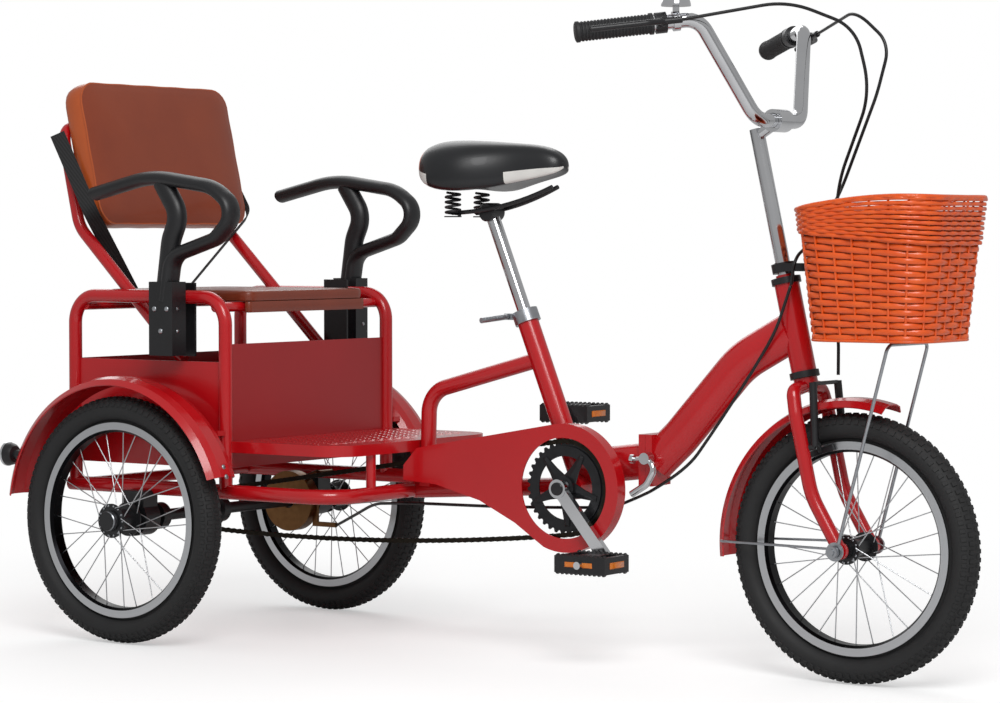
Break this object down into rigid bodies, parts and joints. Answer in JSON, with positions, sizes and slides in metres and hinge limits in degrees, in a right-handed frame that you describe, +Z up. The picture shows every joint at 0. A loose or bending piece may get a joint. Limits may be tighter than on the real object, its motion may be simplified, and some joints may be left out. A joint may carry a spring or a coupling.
{
  "type": "folding tricycle",
  "caption": "Folding pedal tricycle: small steered front wheel with basket, folding frame, two rear wheels under a passenger box with board, backrest and arms.",
  "frame": {"origin": "on the ground, middle of the overall length and width", "axes": "+X forward, +Y to the rider's left, +Z up"},
  "size_m": [1.6664, 0.631, 1.026],
  "materials": {
    "red_paint": "gloss",
    "black_paint": "satin",
    "chrome": "polished",
    "zinc": "satin",
    "rim_alloy": "satin",
    "tyre_rubber": "matte",
    "black_plastic": "satin",
    "grip_rubber": "matte",
    "brown_leather": "satin",
    "black_leather": "satin",
    "orange_wicker": "satin",
    "black_webbing": "matte",
    "cable_black": "satin",
    "red_lens": "gloss",
    "brass_brake": "satin"
  },
  "bodies": {
    "rear_frame": {"lower_frame": "red_paint", "seat_frame": "red_paint", "side_hoop_right": "red_paint", "side_hoop_left": "red_paint", "side_panel_right": "red_paint", "side_panel_left": "red_paint", "front_panel": "red_paint", "rear_panel": "red_paint", "box_floor": "red_paint", "footboard": "red_paint", "passenger_frame": "red_paint", "passenger_seat": "brown_leather", "backrest_cushion": "brown_leather", "armrest_right": "black_plastic", "armrest_left": "black_plastic", "armrest_bracket": "black_paint", "rear_fender_right": "red_paint", "rear_fender_left": "red_paint", "rear_reflectors": "red_lens", "axle_bearings": "black_paint", "band_brake": "brass_brake", "drive_chain": "black_paint", "chain_guard": "red_paint", "post_clamp": "black_paint", "harness_straps": "black_webbing", "rear_cable": "cable_black"},
    "saddle_post": {"seat_post": "chrome", "saddle_carrier": "black_paint", "saddle": "black_leather"},
    "front_frame": {"main_tube": "red_paint", "frame_latch": "chrome", "headset": "black_paint", "frame_cable": "cable_black"},
    "steered_fork": {"fork": "red_paint", "front_axle": "zinc", "stem": "chrome", "handlebar": "chrome", "grips": "grip_rubber", "brake_levers": "black_plastic", "bell": "chrome", "front_fender": "red_paint", "front_brake": "black_paint", "basket": "orange_wicker", "basket_bracket": "black_paint", "front_stays": "zinc", "handlebar_cables": "cable_black"},
    "front_wheel": {"front_tyre": "tyre_rubber", "front_rim": "rim_alloy", "front_hub": "black_paint"},
    "rear_wheel_right": {"rear_right_tyre": "tyre_rubber", "rear_right_rim": "rim_alloy", "rear_right_hub": "black_paint"},
    "rear_wheel_left": {"rear_left_tyre": "tyre_rubber", "rear_left_rim": "rim_alloy", "rear_left_hub": "black_paint", "rear_axle": "black_paint"},
    "crank": {"crankset": "chrome", "chainring": "black_paint"},
    "right_pedal": {"pedal_right": "black_plastic"},
    "left_pedal": {"pedal_left": "black_plastic"}
  },
  "joints": [
    {"name": "frame_fold", "type": "hinge", "parent": "rear_frame", "child": "front_frame", "pos_m": [0.27575, 0.033, 0.32], "axis": [0, 0, 1], "range_deg": [0, 140]},
    {"name": "steering", "type": "hinge", "parent": "front_frame", "child": "steered_fork", "pos_m": [0.54305, 0, 0.46], "axis": [-0.2226, 0, 0.9749], "range_deg": [-50, 50]},
    {"name": "front_wheel_spin", "type": "hinge", "parent": "steered_fork", "child": "front_wheel", "pos_m": [0.63075, 0, 0.2025], "axis": [0, 1, 0], "continuous": true},
    {"name": "rear_right_wheel_spin", "type": "hinge", "parent": "rear_frame", "child": "rear_wheel_right", "pos_m": [-0.57425, -0.2755, 0.2025], "axis": [0, 1, 0], "continuous": true},
    {"name": "rear_left_wheel_spin", "type": "hinge", "parent": "rear_frame", "child": "rear_wheel_left", "pos_m": [-0.57425, 0.2755, 0.2025], "axis": [0, 1, 0], "continuous": true},
    {"name": "crank_spin", "type": "hinge", "parent": "rear_frame", "child": "crank", "pos_m": [0.14575, 0, 0.273], "axis": [0, 1, 0], "continuous": true},
    {"name": "right_pedal_spin", "type": "hinge", "parent": "crank", "child": "right_pedal", "pos_m": [0.23574, -0.11, 0.16575], "axis": [0, 1, 0], "continuous": true},
    {"name": "left_pedal_spin", "type": "hinge", "parent": "crank", "child": "left_pedal", "pos_m": [0.05576, 0.11, 0.38025], "axis": [0, 1, 0], "continuous": true},
    {"name": "saddle_height", "type": "slide", "parent": "rear_frame", "child": "saddle_post", "axis": [-0.3778, 0, 0.9259], "range_m": [-0.08, 0.05]}
  ]
}
